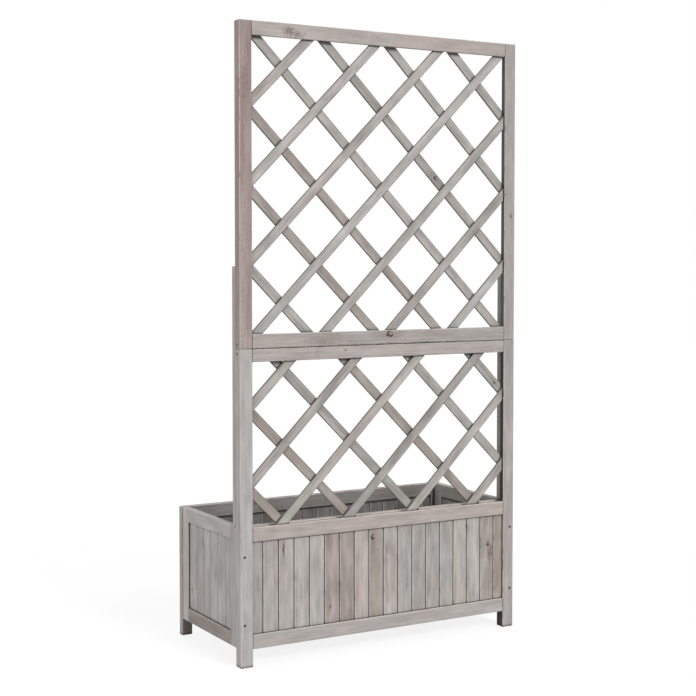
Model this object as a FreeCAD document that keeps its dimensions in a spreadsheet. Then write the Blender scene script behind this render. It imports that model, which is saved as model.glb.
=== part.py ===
"""Timber planter box with a tall lattice trellis on one long side.

Millimetres, +Z up, origin on the ground under the middle of the whole planter.
-Y is the trellis side and +Y the open side. Left (-X) and right (+X) are as
seen from the trellis side. Every timber is a piece of its own, and dowels and
screws hold the pieces together.
"""
import FreeCAD, Part
import Sketcher
import os
import re

os.makedirs("parts", exist_ok=True)
doc = FreeCAD.newDocument("planter_with_trellis")

# ---------------------------------------------------------------- driving sizes
SIZES = [
    ("whole_wide", 782, "length along the trellis"),
    ("whole_deep", 358, "trellis face to open-side face"),
    ("whole_high", 1500, "ground to top of the trellis"),
    ("box_high", 328, "ground to rim of the box"),
    ("split_high", 745, "ground to the split between lower and upper trellis"),
    ("foot_high", 42, "ground to underside of the bottom rails"),
    ("post_wide", 32, "posts and upper stiles, along X"),
    ("frame_deep", 27, "posts, stiles and rails of the trellis frame, along Y"),
    ("rail_high", 34, "every rail but the mid rail"),
    ("mid_rail_high", 31, "split down to the underside of the rail below it"),
    ("split_gap", 0.8, "open joint between the two rails at the split"),
    ("rebate_wide", 9, "rebate round the lattice, across the member"),
    ("lip_deep", 5.6, "timber left in front of the rebate"),
    ("batten_wide", 23, "splice battens, along X"),
    ("batten_deep", 16, "splice battens, along Y"),
    ("batten_rise", 191, "splice battens above the split"),
    ("slat_wide", 23, "lattice slat across its length"),
    ("slat_thick", 5.2, "one lattice layer"),
    ("slat_end_play", 0.5, "slat end to rebate wall"),
    ("upper_corner_run", 152.5, "opening corner to outermost upper slat, along X"),
    ("lower_rising_run", 99.7, "opening corner to outermost lower rising slat"),
    ("lower_falling_run", 92.7, "opening corner to outermost lower falling slat"),
    ("upper_rising_shift", -2.6, "whole rising layer off centre, along X"),
    ("upper_falling_shift", -1.4, "whole falling layer off centre, along X"),
    ("lower_rising_shift", 2.6, "whole rising layer off centre, along X"),
    ("lower_falling_shift", -8.1, "whole falling layer off centre, along X"),
    ("panel_thick", 17, "end panels, open-side panel and inner rail"),
    ("end_inset", 2, "end panels behind the outer faces of the posts"),
    ("end_stile_wide", 34, "stiles of the end panels, along Y"),
    ("leg_wide", 28, "legs of the open-side panel, along X"),
    ("inner_rail_drop", 1, "inner rail below the rim"),
    ("board_pitch", 41.4, "cover width of one board"),
    ("board_thick", 8, "board thickness"),
    ("board_recess", 5, "board face behind the frame face"),
    ("board_play", 0.2, "board face to groove wall, each side"),
    ("groove_deep", 8.5, "groove for the boards in stiles and rails"),
    ("board_end_play", 1, "board end to groove floor"),
    ("tongue_long", 4, "tongue beyond the board edge"),
    ("tongue_thick", 2.6, "tongue thickness"),
    ("tongue_play", 0.2, "tongue to its slot, each side"),
    ("board_joint_gap", 0.4, "open joint between two boards"),
    ("board_vee", 1.6, "bevel on the long front edges of a board"),
    ("cleat_high", 18, "floor cleats, along Z"),
    ("cleat_deep", 20, "floor cleats, along Y"),
    ("cleat_lift", 2, "cleats above the underside of the bottom rails"),
    ("floor_thick", 12, "floor board thickness"),
    ("floor_board_wide", 68, "one floor board, along X"),
    ("floor_drain_gap", 5, "least drain gap between floor boards"),
    ("floor_play", 0.8, "floor to the box walls"),
    ("arris", 1.5, "bevel on the edges of the timbers"),
    ("slat_arris", 1, "bevel on the edges of the slats"),
    ("screw_radius", 1.75, "screw shank"),
    ("screw_head_radius", 3.1, "countersunk head"),
    ("screw_head_deep", 2.2, "cone of the head"),
    ("screw_sink", 0.6, "head top below the timber face"),
    ("screw_tip", 5, "pointed end"),
    ("screw_tip_radius", 0.25, "blunt end of the point"),
    ("screw_play", 0.05, "timber to shank and head"),
    ("long_screw", 50, "corner and frame screws"),
    ("short_screw", 30, "batten, cleat and inner rail screws"),
    ("drive_wide", 0.9, "arm of the cross recess"),
    ("drive_long", 3.6, "length of the cross recess"),
    ("drive_deep", 1.2, "depth of the cross recess"),
    ("near_screw_low", 100, "lower corner screw on the trellis side, above ground"),
    ("near_screw_high", 260, "upper corner screw on the trellis side, above ground"),
    ("far_screw_edge", 7, "corner screws on the open side, from the rail edges"),
    ("split_screw_up", 10, "frame screw above the split"),
    ("split_screw_down", 12, "frame screw below the split"),
    ("split_screw_back", 17, "frame screws behind the trellis face"),
    ("batten_screw_end", 24, "outer batten screws from the batten ends"),
    ("batten_screw_split", 50, "inner batten screws from the split"),
    ("rail_screw_span", 300, "outer cleat and inner rail screws from the middle"),
    ("dowel_radius", 3, "dowel in the rail joints"),
    ("dowel_long", 30, "dowel in the rail joints"),
    ("dowel_play", 0.05, "timber to the side of a dowel"),
    ("dowel_end_play", 1, "dowel end to the end of its hole"),
    ("dowel_edge", 18, "dowel axis from the ungrooved edge of its rail"),
    ("dowel_arris", 0.9, "bevel on the ends of a dowel"),
]
UPPER_SLATS = 7
LOWER_SLATS = 6
SLAT_TURN = 45

sheet = doc.addObject("Spreadsheet::Sheet", "Sizes")
for row, (alias, value, note) in enumerate(SIZES, start=1):
    sheet.set(f"A{row}", note)
    sheet.set(f"B{row}", str(value))
    sheet.setAlias(f"B{row}", alias)
doc.recompute()

ALIASES = {alias for alias, value, note in SIZES}
WORD = re.compile(r"[A-Za-z_][A-Za-z_0-9]*")


def formula(text):
    """Point every size name in a formula at its cell."""
    return WORD.sub(lambda m: f"Sizes.{m[0]}" if m[0] in ALIASES else m[0], text)


def tie(item, prop, text):
    item.setExpression(prop, formula(text))


def place(item, corner):
    for axis, text in zip("xyz", corner):
        tie(item, f"Placement.Base.{axis}", text)


def spin(axis, degrees):
    return FreeCAD.Rotation(FreeCAD.Vector(*axis), degrees)


# --------------------------------------------- places, as formulas of the sizes
LEFT = "(-whole_wide / 2)"
RIGHT = "(whole_wide / 2)"
NEAR = "(-whole_deep / 2)"
FAR = "(whole_deep / 2)"
FRAME_BACK = f"({NEAR} + frame_deep)"
FAR_INNER = f"({FAR} - panel_thick)"
BOX_RAIL_LOW = "(box_high - rail_high)"
FOOT_RAIL_TOP = "(foot_high + rail_high)"
MID_RAIL_LOW = "(split_high - mid_rail_high)"
UPPER_LOW = "(split_high + rail_high)"
UPPER_TOP = "(whole_high - rail_high)"

OPEN_LEFT = f"({LEFT} + post_wide)"
OPEN_RIGHT = f"({RIGHT} - post_wide)"
OPEN_WIDE = "(whole_wide - 2 * post_wide)"
FAR_OPEN_LEFT = f"({LEFT} + leg_wide)"
FAR_OPEN_RIGHT = f"({RIGHT} - leg_wide)"
FAR_OPEN_WIDE = "(whole_wide - 2 * leg_wide)"
END_DEEP = "(whole_deep - frame_deep - panel_thick)"
END_OPEN_NEAR = f"({FRAME_BACK} + end_stile_wide)"
END_OPEN_FAR = f"({FAR_INNER} - end_stile_wide)"
END_OPEN_DEEP = f"({END_DEEP} - 2 * end_stile_wide)"

SIDES = ("left", "right")
TO_RIGHT = {"left": 1, "right": -1}
POST_X = {"left": LEFT, "right": OPEN_RIGHT}
LEG_X = {"left": LEFT, "right": FAR_OPEN_RIGHT}
BATTEN_X = {"left": LEFT, "right": f"({RIGHT} - batten_wide)"}
END_X = {"left": f"({LEFT} + end_inset)", "right": f"({RIGHT} - end_inset - panel_thick)"}
END_MID = {side: f"({END_X[side]} + panel_thick / 2)" for side in SIDES}
INNER_LEFT = f"({END_X['left']} + panel_thick)"
INNER_WIDE = "(whole_wide - 2 * end_inset - 2 * panel_thick)"

CLEAT_LOW = "(foot_high + cleat_lift)"
FLOOR_LEFT = f"({INNER_LEFT} + floor_play)"
FLOOR_WIDE = f"({INNER_WIDE} - 2 * floor_play)"
FAR_CLEAT_Y = f"({FAR_INNER} - cleat_deep)"
INNER_RAIL_LOW = f"({BOX_RAIL_LOW} - inner_rail_drop)"
BATTEN_TOP = "(split_high + batten_rise)"

NEAR_RAIL_ENDS = (OPEN_LEFT, OPEN_RIGHT)
FAR_RAIL_ENDS = (FAR_OPEN_LEFT, FAR_OPEN_RIGHT)
NEAR_DOWEL_Y = f"({NEAR} + frame_deep / 2)"
FAR_DOWEL_Y = f"({FAR_INNER} + panel_thick / 2)"
HIGH_DOWEL_Z = "(whole_high - dowel_edge)"
RIM_DOWEL_Z = "(box_high - dowel_edge)"
FOOT_DOWEL_Z = "(foot_high + dowel_edge)"

# ------------------------------------------- fasteners: where, and in which pieces
# way is the direction a screw points in, and its start is on the timber face
long_screws = []
short_screws = []
dowels = []
for side in SIDES:
    inward = "+x" if side == "left" else "-x"
    outer_face = LEFT if side == "left" else RIGHT
    for height in ("near_screw_high", "near_screw_low"):
        pieces = (f"{side}_post", f"{side}_end_near_stile")
        long_screws.append(((END_MID[side], NEAR, height), "+y", pieces))
    for height in ("box_high - far_screw_edge", "foot_high + far_screw_edge"):
        pieces = (f"open_side_{side}_leg", f"{side}_end_far_stile")
        long_screws.append(((END_MID[side], FAR, height), "-y", pieces))
    split_y = f"{NEAR} + split_screw_back"
    upper_pieces = (f"upper_{side}_stile", "upper_bottom_rail")
    lower_pieces = (f"{side}_post", "mid_rail")
    long_screws.append(((outer_face, split_y, "split_high + split_screw_up"), inward, upper_pieces))
    long_screws.append(((outer_face, split_y, "split_high - split_screw_down"), inward, lower_pieces))
    batten_mid = f"{BATTEN_X[side]} + batten_wide / 2"
    batten_back = f"{FRAME_BACK} + batten_deep"
    for height in ("box_high + batten_screw_end", "split_high - batten_screw_split"):
        pieces = (f"{side}_splice_batten", f"{side}_post")
        short_screws.append(((batten_mid, batten_back, height), "-y", pieces))
    for height in ("split_high + batten_screw_split", f"{BATTEN_TOP} - batten_screw_end"):
        pieces = (f"{side}_splice_batten", f"upper_{side}_stile")
        short_screws.append(((batten_mid, batten_back, height), "-y", pieces))
    for end_y, stile in ((END_OPEN_NEAR, "near"), (END_OPEN_FAR, "far")):
        for height, rail in ((RIM_DOWEL_Z, "top"), (FOOT_DOWEL_Z, "bottom")):
            pieces = (f"{side}_end_{stile}_stile", f"{side}_end_{rail}_rail")
            dowels.append(((END_MID[side], end_y, height), "y", pieces))

for across in ("-rail_screw_span", "0", "rail_screw_span"):
    cleat_mid = f"{CLEAT_LOW} + cleat_high / 2"
    near_pieces = ("near_floor_cleat", "trellis_side_bottom_rail")
    far_pieces = ("far_floor_cleat", "open_side_bottom_rail")
    rail_pieces = ("trellis_side_inner_rail", "trellis_side_top_rail")
    short_screws.append(((across, f"{FRAME_BACK} + cleat_deep", cleat_mid), "-y", near_pieces))
    short_screws.append(((across, FAR_CLEAT_Y, cleat_mid), "+y", far_pieces))
    inner_rail_mid = f"{INNER_RAIL_LOW} + rail_high / 2"
    short_screws.append(((across, f"{FRAME_BACK} + panel_thick", inner_rail_mid), "-y", rail_pieces))

RAIL_DOWELS = [
    ("upper_top_rail", "upper_{}_stile", NEAR_RAIL_ENDS, NEAR_DOWEL_Y, HIGH_DOWEL_Z),
    ("trellis_side_top_rail", "{}_post", NEAR_RAIL_ENDS, NEAR_DOWEL_Y, RIM_DOWEL_Z),
    ("trellis_side_bottom_rail", "{}_post", NEAR_RAIL_ENDS, NEAR_DOWEL_Y, FOOT_DOWEL_Z),
    ("open_side_top_rail", "open_side_{}_leg", FAR_RAIL_ENDS, FAR_DOWEL_Y, RIM_DOWEL_Z),
    ("open_side_bottom_rail", "open_side_{}_leg", FAR_RAIL_ENDS, FAR_DOWEL_Y, FOOT_DOWEL_Z),
]
for rail, stile, ends, depth, height in RAIL_DOWELS:
    for side, end in zip(SIDES, ends):
        dowels.append(((end, depth, height), "x", (rail, stile.format(side))))

# --------------------------------------------------------------- timber features
WAYS = {
    "+x": spin((0, 1, 0), 90),
    "-x": spin((0, 1, 0), -90),
    "+y": spin((1, 0, 0), -90),
    "-y": spin((1, 0, 0), 90),
    "x": spin((0, 1, 0), 90),
    "y": spin((1, 0, 0), -90),
}
HEAD_SLOPE = "((screw_head_radius - screw_radius) / screw_head_deep)"


def local(corner, origin):
    return [f"({a}) - ({b})" for a, b in zip(corner, origin)]


def block(body, kind, corner, size):
    box = body.newObject(f"PartDesign::{kind}Box", f"{body.Name}_{kind.lower()}")
    place(box, corner)
    for prop, text in zip(("Length", "Width", "Height"), size):
        tie(box, prop, text)
    return box


def drill(body, start, way, radius, length):
    hole = body.newObject("PartDesign::SubtractiveCylinder", f"{body.Name}_hole")
    hole.Placement.Rotation = WAYS[way]
    place(hole, start)
    tie(hole, "Radius", radius)
    tie(hole, "Height", length)


def countersink(body, start, way):
    """Seat for a screw head, open to the timber face."""
    seat = body.newObject("PartDesign::SubtractiveCone", f"{body.Name}_seat")
    seat.Placement.Rotation = WAYS[way]
    place(seat, start)
    tie(seat, "Radius1", f"screw_head_radius + screw_play + screw_sink * {HEAD_SLOPE}")
    tie(seat, "Radius2", "screw_radius + screw_play")
    tie(seat, "Height", "screw_sink + screw_head_deep")


def drill_for_fasteners(body, origin):
    for screws, length in ((long_screws, "long_screw"), (short_screws, "short_screw")):
        for start, way, pieces in screws:
            if body.Label not in pieces:
                continue
            spot = local(start, origin)
            drill(body, spot, way, "screw_radius + screw_play", f"{length} + screw_sink + screw_play")
            if body.Label == pieces[0]:
                countersink(body, spot, way)
    for middle, way, pieces in dowels:
        if body.Label in pieces:
            reach = "(dowel_long / 2 + dowel_end_play)"
            start = list(middle)
            start["xy".index(way)] += f" - {reach}"
            drill(body, local(start, origin), way, "dowel_radius + dowel_play", f"2 * {reach}")


def ease_edges(body, blank, size):
    """Bevel every edge of a blank."""
    doc.recompute()
    eased = body.newObject("PartDesign::Chamfer", f"{body.Name}_eased")
    eased.Base = (blank, ["Edge1"])
    eased.UseAllEdges = True
    tie(eased, "Size", size)


def timber(label, corner, size, cuts=()):
    """One squared timber with eased edges, its grooves and rebates, and its holes."""
    body = doc.addObject("PartDesign::Body", label)
    place(body, corner)
    ease_edges(body, block(body, "Additive", ("0", "0", "0"), size), "arris")
    for cut_corner, cut_size in cuts:
        block(body, "Subtractive", local(cut_corner, corner), cut_size)
    drill_for_fasteners(body, corner)
    return body


# ------------------------------------------------------------ rebates and grooves
def lattice_window(low, high, reach):
    """Slab behind the lip that passes the edges of a lattice opening by reach."""
    corner = (f"{OPEN_LEFT} - {reach}", f"{NEAR} + lip_deep", f"{low} - {reach}")
    size = (f"{OPEN_WIDE} + 2 * {reach}", "frame_deep", f"{high} - {low} + 2 * {reach}")
    return corner, size


def groove(low, long, face, along):
    """Slab for the edges of a row of boards, from its outer or left face."""
    start = f"{low} - groove_deep"
    through = f"{face} - board_play"
    run = f"{long} + 2 * groove_deep"
    thick = "board_thick + 2 * board_play"
    height = f"{BOX_RAIL_LOW} - {FOOT_RAIL_TOP} + 2 * groove_deep"
    foot = f"{FOOT_RAIL_TOP} - groove_deep"
    if along == "x":
        return (start, through, foot), (run, thick, height)
    return (through, start, foot), (thick, run, height)


LOWER_REBATE = lattice_window("box_high", MID_RAIL_LOW, "rebate_wide")
UPPER_REBATE = lattice_window(UPPER_LOW, UPPER_TOP, "rebate_wide")
NEAR_BOARD_Y = f"({NEAR} + board_recess)"
FAR_BOARD_Y = f"({FAR} - board_recess - board_thick)"
END_BOARD_X = {
    "left": f"({END_X['left']} + board_recess)",
    "right": f"({END_X['right']} + panel_thick - board_recess - board_thick)",
}
NEAR_GROOVE = groove(OPEN_LEFT, OPEN_WIDE, NEAR_BOARD_Y, "x")
FAR_GROOVE = groove(FAR_OPEN_LEFT, FAR_OPEN_WIDE, FAR_BOARD_Y, "x")
END_GROOVE = {side: groove(END_OPEN_NEAR, END_OPEN_DEEP, END_BOARD_X[side], "y") for side in SIDES}


# ------------------------------------------------------------------ trellis frame
def trellis_frame():
    upper_high = "whole_high - split_high"
    for side in SIDES:
        post_size = ("post_wide", "frame_deep", "split_high")
        timber(f"{side}_post", (POST_X[side], NEAR, "0"), post_size, [LOWER_REBATE, NEAR_GROOVE])
        stile_size = ("post_wide", "frame_deep", upper_high)
        timber(f"upper_{side}_stile", (POST_X[side], NEAR, "split_high"), stile_size, [UPPER_REBATE])
        batten_high = f"{BATTEN_TOP} - box_high"
        batten_size = ("batten_wide", "batten_deep", batten_high)
        timber(f"{side}_splice_batten", (BATTEN_X[side], FRAME_BACK, "box_high"), batten_size)
    rail_size = (OPEN_WIDE, "frame_deep", "rail_high")
    mid_size = (OPEN_WIDE, "frame_deep", "mid_rail_high - split_gap")
    timber("upper_top_rail", (OPEN_LEFT, NEAR, UPPER_TOP), rail_size, [UPPER_REBATE])
    timber("upper_bottom_rail", (OPEN_LEFT, NEAR, "split_high"), rail_size, [UPPER_REBATE])
    timber("mid_rail", (OPEN_LEFT, NEAR, MID_RAIL_LOW), mid_size, [LOWER_REBATE])
    rim_cuts = [LOWER_REBATE, NEAR_GROOVE]
    timber("trellis_side_top_rail", (OPEN_LEFT, NEAR, BOX_RAIL_LOW), rail_size, rim_cuts)
    timber("trellis_side_bottom_rail", (OPEN_LEFT, NEAR, "foot_high"), rail_size, [NEAR_GROOVE])
    inner_size = (INNER_WIDE, "panel_thick", "rail_high")
    timber("trellis_side_inner_rail", (INNER_LEFT, FRAME_BACK, INNER_RAIL_LOW), inner_size)


# ------------------------------------------------------------------------ lattice
def slat(label, turn, middle, window):
    """A slanted bar longer than any slat, cut off square to the frame inside its rebate."""
    bar = doc.addObject("PartDesign::Body", f"{label}_bar")
    bar.Placement.Rotation = spin((0, 1, 0), turn)
    place(bar, middle)
    long = "(2 * (whole_wide + whole_high))"
    corner = (f"-{long} / 2", "0", "-slat_wide / 2")
    ease_edges(bar, block(bar, "Additive", corner, (long, "slat_thick", "slat_wide")), "slat_arris")
    piece = doc.addObject("Part::Common", label)
    piece.Base = bar
    piece.Tool = window


def lattice(name, low, high, count, layers):
    """Rising slats in front and falling slats behind, both in the rebate."""
    corner, size = lattice_window(low, high, "(rebate_wide - slat_end_play)")
    window = doc.addObject("Part::Box", f"{name}_lattice_window")
    place(window, corner)
    for prop, text in zip(("Length", "Width", "Height"), size):
        tie(window, prop, text)
    middle_z = f"({low} + {high}) / 2"
    for layer, (slope, turn, run, shift) in enumerate(layers):
        front = f"{NEAR} + lip_deep + {layer} * slat_thick"
        pitch = f"(({OPEN_WIDE} + {high} - {low} - 2 * {run}) / {count - 1})"
        for number in range(count):
            middle_x = f"{shift} + {number - (count - 1) / 2} * {pitch}"
            slat(f"{name}_{slope}_slat_{number + 1}", turn, (middle_x, front, middle_z), window)


# ------------------------------------------------------------- tongue and groove
def origin_feature(body, role):
    return next(item for item in body.Origin.OriginFeatures if item.Role == role)


def sketch_on(body, role):
    sketch = body.newObject("Sketcher::SketchObject", f"{body.Name}_profile")
    sketch.AttachmentSupport = [(origin_feature(body, role), "")]
    sketch.MapMode = "FlatFace"
    return sketch


def board_outline():
    """Corners of one board in plan: face on y = 0, tongue to +x, slot at -x."""
    left = "board_joint_gap / 2"
    right = "board_pitch - board_joint_gap / 2"
    middle = "(board_thick + board_vee) / 2"
    tongue_tip = f"{right} + tongue_long"
    tongue_half = "tongue_thick / 2"
    slot_floor = "tongue_long - board_joint_gap / 2 + 2 * tongue_play"
    slot_half = "(tongue_thick / 2 + tongue_play)"
    return [
        (f"{left} + board_vee", None),
        (f"{right} - board_vee", None),
        (right, "board_vee"),
        (right, f"{middle} - {tongue_half}"),
        (tongue_tip, f"{middle} - {tongue_half}"),
        (tongue_tip, f"{middle} + {tongue_half}"),
        (right, f"{middle} + {tongue_half}"),
        (right, "board_thick"),
        (left, "board_thick"),
        (left, f"{middle} + {slot_half}"),
        (slot_floor, f"{middle} + {slot_half}"),
        (slot_floor, f"{middle} - {slot_half}"),
        (left, f"{middle} - {slot_half}"),
        (left, "board_vee"),
    ]


def fill_outline(sketch, corners):
    """Closed outline whose corners are tied to the sizes; None means on the x axis."""
    count = len(corners)
    rough = [FreeCAD.Vector(number, number % 2 + 1, 0) for number in range(1, count + 1)]
    for number in range(count):
        sketch.addGeometry(Part.LineSegment(rough[number], rough[(number + 1) % count]), False)
    for number in range(count):
        sketch.addConstraint(Sketcher.Constraint("Coincident", number, 2, (number + 1) % count, 1))
    for number, (across, deep) in enumerate(corners):
        spot = rough[number]
        index = sketch.addConstraint(Sketcher.Constraint("DistanceX", -1, 1, number, 1, spot.x))
        tie(sketch, f"Constraints[{index}]", across)
        if deep is None:
            sketch.addConstraint(Sketcher.Constraint("PointOnObject", number, 1, -1))
        else:
            index = sketch.addConstraint(Sketcher.Constraint("DistanceY", -1, 1, number, 1, spot.y))
            tie(sketch, f"Constraints[{index}]", deep)


def repeat(body, features, direction, count, reach):
    """Repeat a body's features in a row whose first and last copies are reach apart."""
    doc.recompute()
    pattern = body.newObject("PartDesign::LinearPattern", f"{body.Name}_pattern")
    pattern.Originals = features
    pattern.Direction = direction
    tie(pattern, "Occurrences", count)
    tie(pattern, "Length", reach)
    body.Tip = pattern


def board_count(opening):
    """An even number of boards that covers the opening."""
    return f"(2 * ceil({opening} / 2 / board_pitch))"


def board_row(label, turn, start, opening, trim_corner, trim_size):
    """Upright boards side by side, the end ones trimmed to sit in the grooves."""
    row = doc.addObject("PartDesign::Body", f"{label}_row")
    row.Placement.Rotation = spin((0, 0, 1), turn)
    place(row, start)
    outline = sketch_on(row, "XY_Plane")
    fill_outline(outline, board_outline())
    board = row.newObject("PartDesign::Pad", f"{label}_board")
    board.Profile = outline
    tie(board, "Length", f"{BOX_RAIL_LOW} - {FOOT_RAIL_TOP} + 2 * (groove_deep - board_end_play)")
    count = board_count(opening)
    repeat(row, [board], (outline, ["H_Axis"]), count, f"({count} - 1) * board_pitch")
    trim = doc.addObject("Part::Box", f"{label}_trim")
    place(trim, trim_corner)
    for prop, text in zip(("Length", "Width", "Height"), trim_size):
        tie(trim, prop, text)
    boards = doc.addObject("Part::Common", label)
    boards.Base = row
    boards.Tool = trim


def box_boards():
    foot = f"{FOOT_RAIL_TOP} - groove_deep + board_end_play"
    reach = "(groove_deep - board_end_play)"
    near_half = f"{board_count(OPEN_WIDE)} / 2 * board_pitch"
    near_trim = (f"{OPEN_LEFT} - {reach}", NEAR, "0")
    near_size = (f"{OPEN_WIDE} + 2 * {reach}", "frame_deep", "box_high")
    near_start = (f"-{near_half}", NEAR_BOARD_Y, foot)
    board_row("trellis_side_boards", 0, near_start, OPEN_WIDE, near_trim, near_size)
    far_half = f"{board_count(FAR_OPEN_WIDE)} / 2 * board_pitch"
    far_trim = (f"{FAR_OPEN_LEFT} - {reach}", FAR_INNER, "0")
    far_size = (f"{FAR_OPEN_WIDE} + 2 * {reach}", "panel_thick", "box_high")
    far_start = (far_half, f"{FAR} - board_recess", foot)
    board_row("open_side_boards", 180, far_start, FAR_OPEN_WIDE, far_trim, far_size)
    end_half = f"{board_count(END_OPEN_DEEP)} / 2 * board_pitch"
    end_middle = f"({FRAME_BACK} + {END_DEEP} / 2)"
    end_size = ("panel_thick", f"{END_OPEN_DEEP} + 2 * {reach}", "box_high")
    end_faces = (
        ("left", -90, "board_recess", f"{end_middle} + {end_half}"),
        ("right", 90, "panel_thick - board_recess", f"{end_middle} - {end_half}"),
    )
    for side, turn, face, end_start in end_faces:
        start = (f"{END_X[side]} + {face}", end_start, foot)
        trim = (END_X[side], f"{END_OPEN_NEAR} - {reach}", "0")
        board_row(f"{side}_end_boards", turn, start, END_OPEN_DEEP, trim, end_size)


# --------------------------------------------------------------- box and its floor
def box_panels():
    far_rail = (FAR_OPEN_WIDE, "panel_thick", "rail_high")
    timber("open_side_top_rail", (FAR_OPEN_LEFT, FAR_INNER, BOX_RAIL_LOW), far_rail, [FAR_GROOVE])
    timber("open_side_bottom_rail", (FAR_OPEN_LEFT, FAR_INNER, "foot_high"), far_rail, [FAR_GROOVE])
    for side in SIDES:
        leg_size = ("leg_wide", "panel_thick", "box_high")
        timber(f"open_side_{side}_leg", (LEG_X[side], FAR_INNER, "0"), leg_size, [FAR_GROOVE])
        left = END_X[side]
        cut = [END_GROOVE[side]]
        stile_size = ("panel_thick", "end_stile_wide", "box_high - foot_high")
        rail_size = ("panel_thick", END_OPEN_DEEP, "rail_high")
        timber(f"{side}_end_near_stile", (left, FRAME_BACK, "foot_high"), stile_size, cut)
        timber(f"{side}_end_far_stile", (left, END_OPEN_FAR, "foot_high"), stile_size, cut)
        timber(f"{side}_end_top_rail", (left, END_OPEN_NEAR, BOX_RAIL_LOW), rail_size, cut)
        timber(f"{side}_end_bottom_rail", (left, END_OPEN_NEAR, "foot_high"), rail_size, cut)


def box_floor():
    cleat_size = (FLOOR_WIDE, "cleat_deep", "cleat_high")
    timber("near_floor_cleat", (FLOOR_LEFT, FRAME_BACK, CLEAT_LOW), cleat_size)
    timber("far_floor_cleat", (FLOOR_LEFT, FAR_CLEAT_Y, CLEAT_LOW), cleat_size)
    board_size = ("floor_board_wide", f"{END_DEEP} - 2 * floor_play", "floor_thick")
    corner = (FLOOR_LEFT, f"{FRAME_BACK} + floor_play", f"{CLEAT_LOW} + cleat_high")
    boards = timber("floor_boards", corner, board_size)
    count = f"floor(({FLOOR_WIDE} + floor_drain_gap) / (floor_board_wide + floor_drain_gap))"
    blank, eased = boards.Group
    lengthwise = (origin_feature(boards, "X_Axis"), [""])
    repeat(boards, [blank, eased], lengthwise, count, f"{FLOOR_WIDE} - floor_board_wide")


# ------------------------------------------------------------- screws and dowels
def screw(label, length):
    """Countersunk cross-head screw along +z, its head top at z = 0."""
    body = doc.addObject("PartDesign::Body", label)
    shank = body.newObject("PartDesign::AdditiveCylinder", f"{label}_shank")
    tie(shank, "Radius", "screw_radius")
    tie(shank, "Height", f"{length} - screw_tip")
    head = body.newObject("PartDesign::AdditiveCone", f"{label}_head")
    tie(head, "Radius1", "screw_head_radius")
    tie(head, "Radius2", "screw_radius")
    tie(head, "Height", "screw_head_deep")
    point = body.newObject("PartDesign::AdditiveCone", f"{label}_point")
    place(point, ("0", "0", f"{length} - screw_tip"))
    tie(point, "Radius1", "screw_radius")
    tie(point, "Radius2", "screw_tip_radius")
    tie(point, "Height", "screw_tip")
    for wide, deep in (("drive_long", "drive_wide"), ("drive_wide", "drive_long")):
        corner = (f"-{wide} / 2", f"-{deep} / 2", "-drive_deep")
        block(body, "Subtractive", corner, (wide, deep, "2 * drive_deep"))
    return body


def dowel():
    """Plain dowel along +z, its middle at the origin."""
    body = doc.addObject("PartDesign::Body", "dowel_master")
    rod = body.newObject("PartDesign::AdditiveCylinder", "dowel_rod")
    place(rod, ("0", "0", "-dowel_long / 2"))
    tie(rod, "Radius", "dowel_radius")
    tie(rod, "Height", "dowel_long")
    ease_edges(body, rod, "dowel_arris")
    return body


def copies(label, master, spots, sink="0"):
    """The same fastener at every spot, as one group of separate solids."""
    links = []
    for number, (start, way, pieces) in enumerate(spots, start=1):
        link = doc.addObject("App::Link", f"{label}_{number}")
        link.LinkedObject = master
        link.LinkTransform = False
        link.Placement = FreeCAD.Placement(FreeCAD.Vector(), WAYS[way])
        corner = list(start)
        corner["xy".index(way[-1])] += f" {way[0] if len(way) > 1 else '+'} {sink}"
        place(link, corner)
        links.append(link)
    group = doc.addObject("Part::Compound", label)
    group.Links = links


def fasteners():
    copies("long_screws", screw("long_screw_master", "long_screw"), long_screws, "screw_sink")
    copies("short_screws", screw("short_screw_master", "short_screw"), short_screws, "screw_sink")
    copies("rail_dowels", dowel(), dowels)


# -------------------------------------------------------------- build and export
trellis_frame()
upper_layers = [
    ("rising", -SLAT_TURN, "upper_corner_run", "upper_rising_shift"),
    ("falling", SLAT_TURN, "upper_corner_run", "upper_falling_shift"),
]
lower_layers = [
    ("rising", -SLAT_TURN, "lower_rising_run", "lower_rising_shift"),
    ("falling", SLAT_TURN, "lower_falling_run", "lower_falling_shift"),
]
lattice("upper", UPPER_LOW, UPPER_TOP, UPPER_SLATS, upper_layers)
lattice("lower", "box_high", MID_RAIL_LOW, LOWER_SLATS, lower_layers)
box_panels()
box_boards()
box_floor()
fasteners()
doc.recompute()

HELPERS = ("_bar", "_row", "_master")
pieces = [
    item for item in doc.Objects
    if item.TypeId in ("PartDesign::Body", "Part::Common", "Part::Compound")
    and not item.Label.endswith(HELPERS)
]
broken = [item.Label for item in doc.Objects if {"Invalid", "Error"} & set(item.State)]
broken += [item.Label for item in pieces if item.Shape.isNull() or not item.Shape.isValid()]
if broken:
    raise RuntimeError("failed: " + ", ".join(broken))
for item in pieces:
    item.Shape.exportStep(f"parts/{item.Label}.step")
print(len(pieces), "nodes,", sum(len(item.Shape.Solids) for item in pieces), "solids")
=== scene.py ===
"""Timber planter with a lattice trellis, in fir with a grey-white wash.

Metres, in the frame of the model: +Z up, origin on the ground under the middle,
-Y the trellis side. Every timber keeps its modelled shape. This script gives each
one its own grain, wash, knots and worn edges, and sets the light and the camera.
"""
import bpy
import math
import random
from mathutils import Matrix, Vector
from types import SimpleNamespace


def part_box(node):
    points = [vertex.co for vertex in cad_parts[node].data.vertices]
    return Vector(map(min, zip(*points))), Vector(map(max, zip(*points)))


MM = 0.001

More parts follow.
